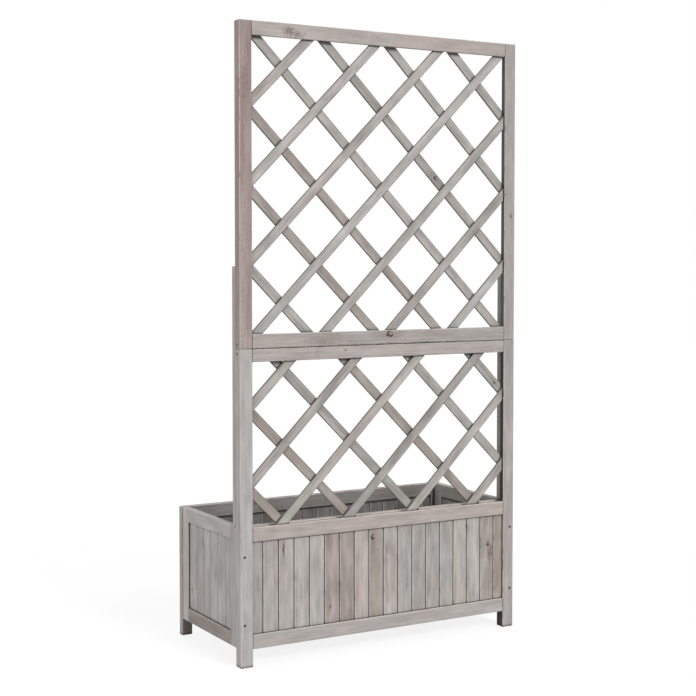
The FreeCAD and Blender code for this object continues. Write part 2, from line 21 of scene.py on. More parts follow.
# The camera that fits the photograph. The picture and the focal length are in pixels, the
# sensor in mm, turn and dip in degrees, and the shift in widths of the picture.
PICTURE_WIDE = 696
FOCAL_PIXELS = 1417.98
SENSOR_WIDE = 36
CAMERA_PLACE = (-1.80977, -3.12191, 0.95543)
CAMERA_TURN = 30.10
CAMERA_DIP = 2.516
CAMERA_SHIFT = -0.04

# Washed fir as it looks in plain light, in sRGB steps from 0 to 255.
TONES = {
    "rose": (160, 141, 138),
    "blush": (182, 170, 165),
    "sand": (179, 171, 163),
    "ash": (178, 172, 168),
    "frost": (183, 180, 177),
    "dove": (171, 165, 161),
    "taupe": (164, 154, 148),
    "slate": (162, 158, 154),
    "haze": (170, 171, 170),
    "mist": (172, 170, 165),
    "sage": (166, 167, 158),
    "moss": (140, 137, 129),
    "chalk": (194, 189, 184),
    "clay": (158, 147, 140),
    "bark": (146, 136, 130),
    # painted shade along a split
    "split_shade_mid": (126, 117, 111),
    "plum": (130, 111, 109),
    "umber": (120, 98, 84),
    # painted shade along a split
    "split_shade_deep": (62, 55, 51),
}


def linear(tone):
    """Linear colour of a named tone by the sRGB curve, with alpha."""
    steps = [step / 255 for step in TONES[tone]]
    return [s / 12.92 if s <= 0.04045 else ((s + 0.055) / 1.055) ** 2.4 for s in steps] + [1]


# ------------------------------------------------------------------ shader fields
# A mix node's colour sockets, by number: its plain numbers and vectors use the same names.
MIX_LOW = 6
MIX_HIGH = 7
MIX_RESULT = 2


def new_material(name):
    """A new material and its node tree."""
    material = bpy.data.materials.new(name)
    material.use_nodes = True
    return material, material.node_tree


def plug(tree, socket, value):
    """Link a field to a socket, or set the socket to a plain value."""
    if isinstance(value, Field):
        tree.links.new(value.socket, socket)
    else:
        socket.default_value = value


class Field:
    """A number, colour or vector that varies over a surface: one shader node's output."""

    def __init__(self, tree, socket):
        self.tree = tree
        self.socket = socket

    def work_out(self, operation, *values):
        """What a math node makes of some values."""
        node = self.tree.nodes.new("ShaderNodeMath")
        node.operation = operation
        for socket, value in zip(node.inputs, values):
            plug(self.tree, socket, value)
        return Field(self.tree, node.outputs[0])

    def __add__(self, other):
        return self.work_out("ADD", self, other)

    def __sub__(self, other):
        return self.work_out("SUBTRACT", self, other)

    def __rsub__(self, other):
        return self.work_out("SUBTRACT", other, self)

    def __mul__(self, other):
        return self.work_out("MULTIPLY", self, other)

    def __truediv__(self, other):
        return self.work_out("DIVIDE", self, other)

    def __pow__(self, other):
        return self.work_out("POWER", self, other)

    __radd__ = __add__

    def floor(self):
        return self.work_out("FLOOR", self)

    def fract(self):
        return self.work_out("FRACT", self)

    def abs(self):
        return self.work_out("ABSOLUTE", self)

    def highest(self, other):
        return self.work_out("MAXIMUM", self, other)

    def ramp(self, low, high):
        """0 below low and 1 above high, smooth between; the other way round if low is above high."""
        node = self.tree.nodes.new("ShaderNodeMapRange")
        node.interpolation_type = "SMOOTHSTEP"
        plug(self.tree, node.inputs["Value"], self)
        node.inputs["From Min"].default_value = min(low, high)
        node.inputs["From Max"].default_value = max(low, high)
        node.inputs["To Min"].default_value = 0 if low < high else 1
        node.inputs["To Max"].default_value = 1 if low < high else 0
        return Field(self.tree, node.outputs["Result"])


def vector(tree, x, y, z):
    """Three numbers as one vector."""
    node = tree.nodes.new("ShaderNodeCombineXYZ")
    for socket, value in zip(node.inputs, (x, y, z)):
        plug(tree, socket, value)
    return Field(tree, node.outputs[0])


def along(tree, source, direction):
    """How far a vector reaches along a fixed direction."""
    node = tree.nodes.new("ShaderNodeVectorMath")
    node.operation = "DOT_PRODUCT"
    plug(tree, node.inputs[0], source)
    node.inputs[1].default_value = direction
    return Field(tree, node.outputs["Value"])


def length(tree, x, y):
    """How far it is to a point of a plane from the plane's origin."""
    node = tree.nodes.new("ShaderNodeVectorMath")
    node.operation = "LENGTH"
    plug(tree, node.inputs[0], vector(tree, x, y, 0.0))
    return Field(tree, node.outputs["Value"])


def noise(tree, place, scales, detail):
    """Smooth noise about 0.5, with its own scale for each axis of a place."""
    node = tree.nodes.new("ShaderNodeTexNoise")
    plug(tree, node.inputs["Vector"], vector(tree, *[axis * scale for axis, scale in zip(place, scales)]))
    node.inputs["Scale"].default_value = 1
    node.inputs["Detail"].default_value = detail
    return Field(tree, node.outputs["Fac"])


def blend(tree, share, low, high, mode="MIX"):
    """Mix two colours by share, or lay one on the other in another mode."""
    node = tree.nodes.new("ShaderNodeMix")
    node.data_type = "RGBA"
    node.blend_type = mode
    plug(tree, node.inputs["Factor"], share)
    plug(tree, node.inputs[MIX_LOW], low)
    plug(tree, node.inputs[MIX_HIGH], high)
    return Field(tree, node.outputs[MIX_RESULT])


def grey(tree, level):
    """A level as a colour, to multiply with."""
    return vector(tree, level, level, level)


def palette(tree, position, tones):
    """Steps through named tones as position goes from 0 to 1."""
    node = tree.nodes.new("ShaderNodeValToRGB")
    ramp = node.color_ramp
    ramp.interpolation = "CONSTANT"
    for number, tone in enumerate(tones):
        stop = ramp.elements[0] if number == 0 else ramp.elements.new(number / len(tones))
        stop.color = linear(tone)
    # a new ramp has a stop at 1 of its own
    ramp.elements.remove(ramp.elements[-1])
    plug(tree, node.inputs["Fac"], position)
    return Field(tree, node.outputs["Color"])


def random_of(tree, number):
    """Three random numbers for each whole number."""
    node = tree.nodes.new("ShaderNodeTexWhiteNoise")
    node.noise_dimensions = "1D"
    plug(tree, node.inputs["W"], number)
    split = tree.nodes.new("ShaderNodeSeparateColor")
    tree.links.new(node.outputs["Color"], split.inputs[0])
    return [Field(tree, socket) for socket in split.outputs]


# --------------------------------------------------------------------- washed fir
DIAGONAL = math.sqrt(0.5)
# Directions along the grain, across the face and through the timber.
GRAINS = {
    "rail": ((1, 0, 0), (0, 0, 1), (0, 1, 0)),
    "post": ((0, 0, 1), (1, 0, 0), (0, 1, 0)),
    "end rail": ((0, 1, 0), (0, 0, 1), (1, 0, 0)),
    "end post": ((0, 0, 1), (0, 1, 0), (1, 0, 0)),
    "floor": ((0, 1, 0), (1, 0, 0), (0, 0, 1)),
    "rising": ((DIAGONAL, 0, DIAGONAL), (-DIAGONAL, 0, DIAGONAL), (0, 1, 0)),
    "falling": ((DIAGONAL, 0, -DIAGONAL), (DIAGONAL, 0, DIAGONAL), (0, 1, 0)),
}
# Noises in the wood: their shift, scale along the grain, scale across it and through it, and
# detail. Those that come in patches also have the levels where a patch starts and is full.
NOISES = {
    "ragged": (0, 160, 320, 2),
    "sway": (0, 2.4, 5, 1),
    "ripple": (0, 16, 60, 2),
    "cloud": (17, 15, 45, 3),
    "streak": (0, 7, 150, 3),
    "fibre": (0, 30, 700, 2),
    "rosy": (0, 4.2, 20, 2, 0.45, 0.68),
    "chill": (5.5, 4.8, 24, 2, 0.45, 0.7),
    "thin": (11, 6, 30, 3, 0.35, 0.7),
    # patches where eased edges are paler, partly worn wash and partly painted highlight, and where board
    # lips get a painted highlight
    "worn": (0, 30, 60, 2, 0.3, 0.55),
}
# Shifts, in metres, that give each timber or board its own stretch of the noises.
SEEDS = (3, 40)
SEED_SPREAD = 9

# Growth rings: the width of one, how far they bend slowly and quickly, and how suddenly each
# one's dark late wood ends.
RING_WIDE = 2.8 * MM
RING_SWAY = 30 * MM
RING_RIPPLE = 3 * MM
RING_SUDDEN = 3.0
# Where their pith may lie, aside of the middle of the timber and before or behind it. The
# limits for a single timber are in mm.
PITH_ASIDE = (-30, 30)
PITH_DEEP = (22, 60)
BOARD_PITH_ASIDE = 70 * MM
BOARD_PITH_NEAREST = 30 * MM
BOARD_PITH_SPREAD = 40 * MM

# The wash: how far the noises and the late wood change its brightness, how much darker the sides of a
# slat are painted as shade, and how much of it the rosy and the chill patches hide.
TIMBER_MOTTLE = 0.45
BOARD_MOTTLE = 0.85
SLAT_MOTTLE = 1.0
STREAK_LIGHT = 0.45
FIBRE_LIGHT = 0.4
RING_LIGHT = 0.07
THIN_RING_LIGHT = 0.18
SLAT_SIDE_SHADE = 0.3
TINT_COVER = 0.45

# How squarely a face looks one way: where that starts to tell, and where it tells in full.
INWARD = (0.6, 0.9)
SIDEWAYS = (0.75, 0.95)
ENDWAYS = (0.8, 0.95)
EASED = (0.93, 0.8)

# The surface: roughness and relief, and what the noises, rings and knots do to them.
ROUGHNESS = 0.74
STREAK_ROUGH = 0.25
RING_SMOOTH = 0.08
STREAK_RISE = 0.6
FIBRE_RISE = 0.7
RING_SINK = 0.35
KNOT_SINK = 0.8
RELIEF_STRENGTH = 0.6
SAW_RELIEF = 0.25 * MM
SPECULAR = 0.25

# Knots, in shares of their radius. A zone begins at its WIDE radius, or at the knot's own, and
# is whole at its FULL one. LONG is how much longer than wide it is, and RAGGED how far its
# outline wanders. The eye leans off the middle by EYE_LEAN of the room round it, and EYE_SLOPE
# times as far across the grain. SWERVE_FAR is how far the growth rings give way to the knot.
KNOT_LONG = 1.4
KNOT_RAGGED = 1.5
CORE_FULL = 0.75
EYE_LEAN = 0.65
EYE_SLOPE = 0.7
EYE_SOFT = 0.2
HALO_LONG = 3.2
HALO_RAGGED = 4
HALO_WIDE = 2.4
HALO_FULL = 0.4
SWERVE_WIDE = 5
SWERVE_FULL = 0.5
SWERVE_FAR = 1.6

# Smudges, in shares of their half sizes, and the noise that scuffs them.
SMUDGE_WIDE = 1.3
SMUDGE_FULL = 0.3
SMUDGE_RAGGED = 2.5
SCUFF_SCALES = (260, 60, 1)
SCUFF_DETAIL = 3
SCUFF_PATCH = (0.35, 0.6)
SCUFF_LEAST = 0.45

# Lines beside an edge: how far in from it each one starts, and where it is full. The high side of a board
# is the one where the next board of its row follows. The high seam is a dark joint line widened by
# painted shade, the low seam is the dark joint line itself, the low lip is a painted highlight, the line
# under the rail is a painted shadow, and the slat rim is painted shade.
HIGH_SEAM = (2.6 * MM, 1 * MM)
LOW_SEAM = (1.3 * MM, 0.5 * MM)
LOW_LIP = (4.5 * MM, 2.5 * MM)
RAIL_SHADOW = (7 * MM, 4 * MM)
# a strip along a slat's long edges, painted darker as shade
SLAT_RIM = (2.4 * MM, 0.8 * MM)

# Crevices, which are painted darker as shade: how near the walls that make one are, and the depth where
# the shade starts and is full.
CREVICE_REACH = 12 * MM
CREVICE_DEPTH = (0.13, 0.48)
CREVICE_SAMPLES = 8

# Marks over the wash: linear red, green and blue, and how much of what lies under it each hides.
MARKS = {
    "knot halo": (0.22, 0.165, 0.145, 0.4),
    "knot core": (0.03, 0.021, 0.018, 0.92),
    "knot eye": (0.38, 0.31, 0.285, 0.8),
    # painted shade on the edges of a slat
    "slat rim": (0.13, 0.115, 0.1, 0.72),
    # paler eased edges: partly worn wash, partly painted highlight
    "edge wear and painted highlight": (0.6, 0.56, 0.53, 0.8),
    # painted highlight on the lip of a board
    "painted lip highlight": (0.6, 0.56, 0.53, 0.7),
    # dark joint lines, with painted shade beside them and painted shadow under the rails
    "joint line and painted shade": (0.04, 0.033, 0.029, 0.75),
    "end stain": (0.2, 0.165, 0.145, 0.3),
    # painted shade in crevices
    "painted crevice shade": (0.04, 0.033, 0.029, 0.92),
}


def mark(tree, colour, where, name):
    """Lay a mark over a colour where a field says."""
    *tint, cover = MARKS[name]
    return blend(tree, where * cover, colour, (*tint, 1))


def patterns(tree, seeded):
    """Every noise of the wood by name: from 0 to 1 in patches, the others about 0."""
    wood = SimpleNamespace()
    for name, (shift, lengthways, crossways, detail, *patch) in NOISES.items():
        shifted = [axis + shift for axis in seeded] if shift else seeded
        level = noise(tree, shifted, (lengthways, crossways, crossways), detail)
        setattr(wood, name, level.ramp(*patch) if patch else level - 0.5)
    return wood


def knot_fields(tree, place, ragged, knots):
    """Dark crescents, their paler eyes, long brown halos, and how far the growth rings swerve."""
    fields = []
    for along_at, across_at, radius, eye_share in knots:
        off = (place[0] - along_at, place[1] - across_at)
        away = length(tree, off[0] / KNOT_LONG, off[1]) + ragged * (radius * KNOT_RAGGED)
        core = away.ramp(radius, radius * CORE_FULL)
        lean = radius * (1 - eye_share) * EYE_LEAN
        inner = length(tree, (off[0] - lean) / KNOT_LONG, off[1] - lean * EYE_SLOPE)
        eye = (inner + ragged * radius).ramp(radius * eye_share, radius * (eye_share - EYE_SOFT))
        far_off = length(tree, off[0] / HALO_LONG, off[1]) + ragged * (radius * HALO_RAGGED)
        halo = far_off.ramp(radius * HALO_WIDE, radius * HALO_FULL)
        swerve = away.ramp(radius * SWERVE_WIDE, radius * SWERVE_FULL) * (radius * SWERVE_FAR)
        fields.append((core, eye, halo, swerve))
    core, eye, halo, swerve = fields[0]
    for other_core, other_eye, other_halo, other_swerve in fields[1:]:
        core, eye, halo = core.highest(other_core), eye.highest(other_eye), halo.highest(other_halo)
        swerve = swerve + other_swerve
    return core, eye, halo, swerve


def smudged(tree, colour, place, ragged, smudges):
    """Scuffed patches in other tones: stains where the wash took another tone, and lines of painted shade
    along a split.
    """
    scuff = noise(tree, (place[0], place[1], 0.0), SCUFF_SCALES, SCUFF_DETAIL).ramp(*SCUFF_PATCH)
    scuff = SCUFF_LEAST + scuff * (1 - SCUFF_LEAST)
    for along_at, across_at, half_long, half_wide, tone, strength in smudges:
        away = length(tree, (place[0] - along_at) / half_long, (place[1] - across_at) / half_wide)
        patch = (away + ragged * SMUDGE_RAGGED).ramp(SMUDGE_WIDE, SMUDGE_FULL) * scuff * strength
        colour = blend(tree, patch, colour, linear(tone))
    return colour


def crevice(tree):
    """How much shade to paint: 0 on an open face, towards 1 deep in a joint or a corner."""
    node = tree.nodes.new("ShaderNodeAmbientOcclusion")
    node.samples = CREVICE_SAMPLES
    node.inputs["Distance"].default_value = CREVICE_REACH
    return 1 - Field(tree, node.outputs["AO"])


def near_edge(place, edge, line):
    """0 inside an edge, and 1 from where the line beside it is full."""
    start, full = line
    return place.ramp(edge - start, edge - full)


def joints(tree, colour, across, row, rail_shadow, worn):
    """Dark joints between boards, widened on one side by painted shade, a painted highlight on the lip at
    the other side, and the painted shadow under the rail.
    """
    half_wide = row.pitch / 2
    other_way = across * -1
    lip = near_edge(other_way, half_wide, LOW_LIP)
    seam = near_edge(across, half_wide, HIGH_SEAM).highest(near_edge(other_way, half_wide, LOW_SEAM))
    colour = mark(tree, colour, lip * worn, "painted lip highlight")
    return mark(tree, colour, seam.highest(rail_shadow), "joint line and painted shade")


def one_timber(place, seed, chance):
    """The pith of a timber's rings, and where its noises are read."""
    pith = (chance.uniform(*PITH_ASIDE) * MM, chance.choice((-1, 1)) * chance.uniform(*PITH_DEEP) * MM)
    seeded = (place[0] + seed, *[axis + chance.uniform(0, SEED_SPREAD) for axis in place[1:]])
    return pith, seeded


def one_board(tree, place, across, tones, row, seed):
    """For the board that a point lies on: the same, its tone, and the point's place on it."""
    steps = (across - row.start) / row.pitch
    number = steps.floor()
    lots = random_of(tree, number + seed)
    place = (place[0], (steps - number - 0.5) * row.pitch, place[2])
    colour = palette(tree, (number + 0.5) / len(tones), tones)
    pith = ((lots[0] - 0.5) * BOARD_PITH_ASIDE, BOARD_PITH_NEAREST + lots[1] * BOARD_PITH_SPREAD)
    seeded = (place[0] + lots[2] * SEED_SPREAD + seed, place[1] + lots[0], place[2] + lots[1])
    return pith, seeded, colour, place


def washed_fir(node, grain, tones, knots=(), smudges=(), row=None, inside=None, lath=False):
    """Fir under a thin grey-white wash, made for one node.

    tones is one tone, or one for each board of a row. row says where its boards start, their pitch, and
    how high the rail over them begins, for the painted shadow under it. inside is the way to the inward
    faces, which are painted darker as shade, and how much darker they are. A lath's sides and edges are
    painted darker too, as shade.
    """
    material, tree = new_material(node)
    directions = GRAINS[grain]
    spans = spans_of(node, directions)
    point = Field(tree, tree.nodes.new("ShaderNodeTexCoord").outputs["Object"])
    normal = Field(tree, tree.nodes.new("ShaderNodeNewGeometry").outputs["True Normal"])
    here = [along(tree, point, direction) for direction in directions]
    facing = [along(tree, normal, direction).abs() for direction in directions]
    place = [axis - (low + high) / 2 for axis, (low, high) in zip(here, spans)]
    chance = random.Random(node)
    seed = chance.uniform(*SEEDS)
    if row:
        pith, seeded, colour, place = one_board(tree, place, here[1], tones, row, seed)
        mark_place = here
    else:
        pith, seeded = one_timber(place, seed, chance)
        colour = linear(tones[0])
        mark_place = place
    wood = patterns(tree, seeded)

    # growth rings about a pith beside the timber, bent by slow noise and by the knots
    aside = place[1] - pith[0] + wood.sway * RING_SWAY
    reach = length(tree, aside, place[2] - pith[1]) + wood.ripple * RING_RIPPLE
    if knots:
        core, eye, halo, swerve = knot_fields(tree, mark_place, wood.ragged, knots)
        reach = reach + swerve
    latewood = (reach / RING_WIDE).fract() ** RING_SUDDEN

    # the wash lies in cloudy bands, thinner in places, with fine streaks along the grain
    colour = blend(tree, wood.rosy * TINT_COVER, colour, linear("blush"))
    colour = blend(tree, wood.chill * TINT_COVER, colour, linear("sage" if lath else "frost"))
    mottle = SLAT_MOTTLE if lath else BOARD_MOTTLE if row else TIMBER_MOTTLE
    level = 1.0 + wood.cloud * mottle + wood.streak * STREAK_LIGHT + wood.fibre * FIBRE_LIGHT
    level = level - latewood * (RING_LIGHT + wood.thin * THIN_RING_LIGHT)
    # inward faces are painted darker, as shade
    if inside:
        way, shade = inside
        inward_shade = along(tree, normal, way).ramp(*INWARD)
        level = level * (1 - inward_shade * shade)
    # the sides of a slat are painted darker, as shade
    if lath:
        level = level * (1 - facing[1].ramp(*SIDEWAYS) * SLAT_SIDE_SHADE)
    colour = smudged(tree, colour, mark_place, wood.ragged, smudges)
    colour = blend(tree, 1.0, colour, grey(tree, level), "MULTIPLY")
    if knots:
        colour = mark(tree, colour, halo, "knot halo")
        colour = mark(tree, colour, core, "knot core")
        colour = mark(tree, colour, eye, "knot eye")

    # eased edges are paler, partly from worn wash and partly as a painted highlight; board joints are
    # dark, with painted shade and a painted highlight beside them and a painted shadow under the rail;
    # end grain drinks more stain; joints and corners get painted shade
    edge = facing[0].highest(facing[1]).highest(facing[2]).ramp(*EASED)
    # a lath's eased edges and a strip along its long edges are painted darker, as shade
    if lath:
        low, high = spans[1]
        rim = near_edge(place[1].abs(), (high - low) / 2, SLAT_RIM)
        colour = mark(tree, colour, edge.highest(rim), "slat rim")
    else:
        colour = mark(tree, colour, edge * wood.worn, "edge wear and painted highlight")
    if row:
        # a painted shadow under the rail, on the inward faces of the boards
        rail_shadow = near_edge(here[0], row.rail_low, RAIL_SHADOW) * inward_shade
        colour = joints(tree, colour, place[1], row, rail_shadow, wood.worn)
    colour = mark(tree, colour, facing[0].ramp(*ENDWAYS), "end stain")
    # painted shade in joints and corners, from the occlusion node
    colour = mark(tree, colour, crevice(tree).ramp(*CREVICE_DEPTH), "painted crevice shade")

    rough = ROUGHNESS + wood.streak * STREAK_ROUGH - latewood * RING_SMOOTH
    height = wood.streak * STREAK_RISE + wood.fibre * FIBRE_RISE - latewood * RING_SINK
    if knots:
        height = height - core * KNOT_SINK
    surface(tree, colour, rough, height)
    return material


def surface(tree, colour, rough, height):
    """Give a tree's shader its colour and roughness, and a relief as deep as a saw leaves."""
    bump = tree.nodes.new("ShaderNodeBump")
    bump.inputs["Strength"].default_value = RELIEF_STRENGTH
    bump.inputs["Distance"].default_value = SAW_RELIEF
    plug(tree, bump.inputs["Height"], height)
    shader = tree.nodes["Principled BSDF"]
    plug(tree, shader.inputs["Base Color"], colour)
    plug(tree, shader.inputs["Roughness"], rough)
    tree.links.new(bump.outputs["Normal"], shader.inputs["Normal"])
    shader.inputs["Specular IOR Level"].default_value = SPECULAR


# ------------------------------------------------------------- timbers and boards
UP = (0, 0, 1)
DOWN = (0, 0, -1)
# Ways from the left, right, near and far side of the planter to its inside.
FROM = {"left": (1, 0, 0), "right": (-1, 0, 0), "near": (0, 1, 0), "far": (0, -1, 0)}
# Grain, tone, the way to the inward faces that are painted darker as shade, and how much darker they are.
TIMBERS = {
    "upper_left_stile": ("post", "rose", FROM["left"], 0.7),
    "upper_right_stile": ("post", "dove", FROM["right"], 0.7),
    "upper_top_rail": ("rail", "blush", DOWN, 0.5),
    "upper_bottom_rail": ("rail", "dove", DOWN, 0.8),
    "mid_rail": ("rail", "ash", DOWN, 0.5),
    "left_post": ("post", "frost", FROM["left"], 0.7),
    "right_post": ("post", "dove", FROM["right"], 0.85),
    "left_splice_batten": ("post", "ash", FROM["left"], 0.1),
    "right_splice_batten": ("post", "taupe", FROM["right"], 0.1),
    "trellis_side_top_rail": ("rail", "blush", FROM["near"], 0.4),
    "trellis_side_bottom_rail": ("rail", "ash", FROM["near"], 0.4),
    "trellis_side_inner_rail": ("rail", "sand", FROM["near"], 0.4),
    "left_end_near_stile": ("end post", "ash", FROM["left"], 0.4),
    "left_end_far_stile": ("end post", "chalk", FROM["left"], 0.4),
    "left_end_top_rail": ("end rail", "frost", FROM["left"], 0.4),
    "left_end_bottom_rail": ("end rail", "bark", FROM["left"], 0.4),
    "right_end_near_stile": ("end post", "dove", FROM["right"], 0.85),
    "right_end_far_stile": ("end post", "ash", FROM["right"], 0.3),
    "right_end_top_rail": ("end rail", "sage", FROM["right"], 0.2),
    "right_end_bottom_rail": ("end rail", "ash", FROM["right"], 0.4),
    "open_side_left_leg": ("post", "dove", FROM["far"], 0.4),
    "open_side_right_leg": ("post", "dove", FROM["far"], 0.4),
    "open_side_top_rail": ("rail", "dove", FROM["far"], 0.2),
    "open_side_bottom_rail": ("rail", "sand", FROM["far"], 0.4),
    "near_floor_cleat": ("rail", "moss", FROM["near"], 0.2),
    "far_floor_cleat": ("rail", "moss", FROM["far"], 0.2),
}
# how much darker the inward faces of the boards are painted, as shade
BOARD_SHADE = 0.45
SLAT_TONES = {
    "upper_rising": "dove frost ash frost mist dove frost",
    "upper_falling": "mist taupe taupe ash slate mist mist",
    "lower_rising": "ash dove ash slate ash dove",
    "lower_falling": "taupe clay slate clay mist mist",
}
# Knots: place along the grain and across it from the timber's middle, radius, and the share
# of that radius that the pale eye takes.
KNOTS = {
    "upper_bottom_rail": [(15 * MM, 8 * MM, 8.5 * MM, 0.62)],
    "upper_falling_slat_5": [(76 * MM, 2 * MM, 5 * MM, 0.6)],
    "upper_right_stile": [(-60 * MM, 3 * MM, 2.4 * MM, 0.5)],
    "lower_falling_slat_6": [(40 * MM, 0 * MM, 3 * MM, 0.5)],
}
# Smudges: place along and across, half length, half width, tone and strength. One that is
# larger than its timber shifts the tone of all of it.
SMUDGES = {
    "upper_top_rail": [
        (-264 * MM, -3 * MM, 15 * MM, 12 * MM, "plum", 1.0),
        (-240 * MM, -7 * MM, 24 * MM, 8 * MM, "plum", 0.9),
        (-60 * MM, 2 * MM, 80 * MM, 14 * MM, "slate", 0.5),
    ],
    "upper_bottom_rail": [
        (-158 * MM, 0 * MM, 54 * MM, 20 * MM, "plum", 0.5),
        (-290 * MM, 0 * MM, 110 * MM, 20 * MM, "blush", 0.6),
        (60 * MM, 4 * MM, 90 * MM, 12 * MM, "blush", 0.7),
        # a dark line along the split under this rail: partly the joint, partly painted shade
        (-60 * MM, -17 * MM, 420 * MM, 3 * MM, "split_shade_mid", 1.6),
        (80 * MM, -18 * MM, 150 * MM, 3 * MM, "split_shade_deep", 1.5),
    ],
    "mid_rail": [
        (0 * MM, 0 * MM, 600 * MM, 60 * MM, "blush", 0.4),
        (-186 * MM, 0 * MM, 8 * MM, 14 * MM, "taupe", 0.9),
        (-111 * MM, 6 * MM, 5 * MM, 4 * MM, "plum", 0.8),
    ],
    "upper_left_stile": [
        (0 * MM, 0 * MM, 600 * MM, 60 * MM, "rose", 0.8),
        (135 * MM, -8 * MM, 110 * MM, 3 * MM, "plum", 0.4),
        (70 * MM, 4 * MM, 140 * MM, 5 * MM, "taupe", 0.5),
        (240 * MM, 0 * MM, 40 * MM, 14 * MM, "plum", 0.4),
    ],
}
# In the rows of boards both are placed by height and by distance from the middle of the object.
TRELLIS_BOARD_KNOTS = [
    (273 * MM, -31 * MM, 5.6 * MM, 0.5),
    (273 * MM, 247 * MM, 2.6 * MM, 0.5),
    (221 * MM, 314 * MM, 5 * MM, 0.45),
    (117 * MM, -151 * MM, 3.2 * MM, 0.6),
]
TRELLIS_BOARD_SMUDGES = [
    (267 * MM, -277 * MM, 16 * MM, 2.6 * MM, "umber", 1.6),
    (196 * MM, 320 * MM, 24 * MM, 8 * MM, "plum", 1.2),
    (180 * MM, 21 * MM, 90 * MM, 22 * MM, "blush", 0.6),
    (117 * MM, -228 * MM, 60 * MM, 14 * MM, "chalk", 0.7),
    (180 * MM, 62 * MM, 110 * MM, 15 * MM, "haze", 0.6),
    (190 * MM, 186 * MM, 110 * MM, 16 * MM, "haze", 0.6),
]
END_BOARD_KNOTS = [(127 * MM, 115 * MM, 2.6 * MM, 0.5)]
BOARD_PITCH = 41.4 * MM
FLOOR_GAP = 5 * MM
# Farther along than any board reaches, for a row without a rail.
NO_RAIL = 1
TRELLIS_BOARD_TONES = (
    "dove dove ash ash frost rose clay blush taupe ash ash dove dove dove sand ash clay clay"
).split()
OPEN_BOARD_TONES = (
    "ash dove sand dove ash taupe ash blush dove ash sand dove frost ash dove taupe ash dove"
).split()
END_BOARD_TONES = "ash frost frost ash ash frost".split()
FLOOR_TONES = "taupe dove taupe moss dove taupe moss taupe dove taupe".split()


def dress(node, material):
    """Give every slot of a CAD node this material."""
    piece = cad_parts[node]
    for slot in piece.material_slots:
        slot.material = material


def spans_of(node, directions):
    """Lowest and highest place of a node along each direction."""
    corners = [corner.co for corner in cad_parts[node].data.vertices]
    spans = []
    for direction in directions:
        places = [corner.dot(Vector(direction)) for corner in corners]
        spans.append((min(places), max(places)))
    return spans


def timbers():
    """Posts, stiles, rails, battens, legs and cleats."""
    for node, (grain, tone, way, shade) in TIMBERS.items():
        knots, smudges = KNOTS.get(node, ()), SMUDGES.get(node, ())
        dress(node, washed_fir(node, grain, [tone], knots, smudges, inside=(way, shade)))


def slats():
    """The four layers of the lattice."""
    for layer, tones in SLAT_TONES.items():
        grain = layer.split("_")[1]
        for number, tone in enumerate(tones.split(), start=1):
            node = f"{layer}_slat_{number}"
            dress(node, washed_fir(node, grain, [tone], KNOTS.get(node, ()), lath=True))


def board_row(node, grain, tones, pitch, start, way, rail=None, knots=(), smudges=()):
    """A row of boards side by side, counted from start, under a rail if there is one."""
    row = SimpleNamespace(start=start, pitch=pitch, rail_low=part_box(rail)[0].z if rail else NO_RAIL)
    dress(node, washed_fir(node, grain, tones, knots, smudges, row, (way, BOARD_SHADE)))


def boards():
    """The rows of the long sides and the ends, and the floor."""
    start = -len(TRELLIS_BOARD_TONES) / 2 * BOARD_PITCH
    board_row(
        "trellis_side_boards", "post", TRELLIS_BOARD_TONES, BOARD_PITCH, start, FROM["near"],
        "trellis_side_top_rail", TRELLIS_BOARD_KNOTS, TRELLIS_BOARD_SMUDGES,
    )
    rail = "open_side_top_rail"
    board_row("open_side_boards", "post", OPEN_BOARD_TONES, BOARD_PITCH, start, FROM["far"], rail)
    low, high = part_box("left_end_top_rail")
    start = (low.y + high.y) / 2 - len(END_BOARD_TONES) / 2 * BOARD_PITCH
    for side, knots in (("left", END_BOARD_KNOTS), ("right", ())):
        rail = f"{side}_end_top_rail"
        node = f"{side}_end_boards"
        board_row(node, "end post", END_BOARD_TONES, BOARD_PITCH, start, FROM[side], rail, knots)
    low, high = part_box("floor_boards")
    pitch = (high.x - low.x + FLOOR_GAP) / len(FLOOR_TONES)
    board_row("floor_boards", "floor", FLOOR_TONES, pitch, low.x, UP)


# ---------------------------------------------------------------------- fasteners
ZINC_DARK = (0.05, 0.046, 0.043, 1)
ZINC_PALE = (0.12, 0.11, 0.1, 1)
ZINC_SCALES = (420, 420, 420)
ZINC_DETAIL = 3
ZINC_PATCH = (0.35, 0.7)
ZINC_ROUGH = 0.42
ZINC_PATCH_ROUGH = 0.25
ZINC_METAL = 0.85


def zinc_steel():
    """Dull zinc plate, paler and rougher in patches."""
    material, tree = new_material("zinc_steel")
    point = Field(tree, tree.nodes.new("ShaderNodeTexCoord").outputs["Object"])
    place = [along(tree, point, direction) for direction in GRAINS["rail"]]
    bloom = noise(tree, place, ZINC_SCALES, ZINC_DETAIL).ramp(*ZINC_PATCH)
    shader = tree.nodes["Principled BSDF"]
    plug(tree, shader.inputs["Base Color"], blend(tree, bloom, ZINC_DARK, ZINC_PALE))
    plug(tree, shader.inputs["Roughness"], ZINC_ROUGH + bloom * ZINC_PATCH_ROUGH)
    shader.inputs["Metallic"].default_value = ZINC_METAL
    return material


def fasteners():
    """Screws of one steel, and dowels of fir."""
    steel = zinc_steel()
    for node in ("long_screws", "short_screws"):
        dress(node, steel)
    dress("rail_dowels", washed_fir("rail_dowels", "rail", ["sand"]))


# ---------------------------------------------------------------- floor and light
# Lamps: strength, softness in degrees, turn to the left of the trellis side, and height.
LAMPS = {
    "key": (1.96, 20, -12, 36),
    "fill": (1.0, 40, 80, 20),
    "back": (0.6, 40, 195, 25),
}
SKY_LEVEL = 0.4
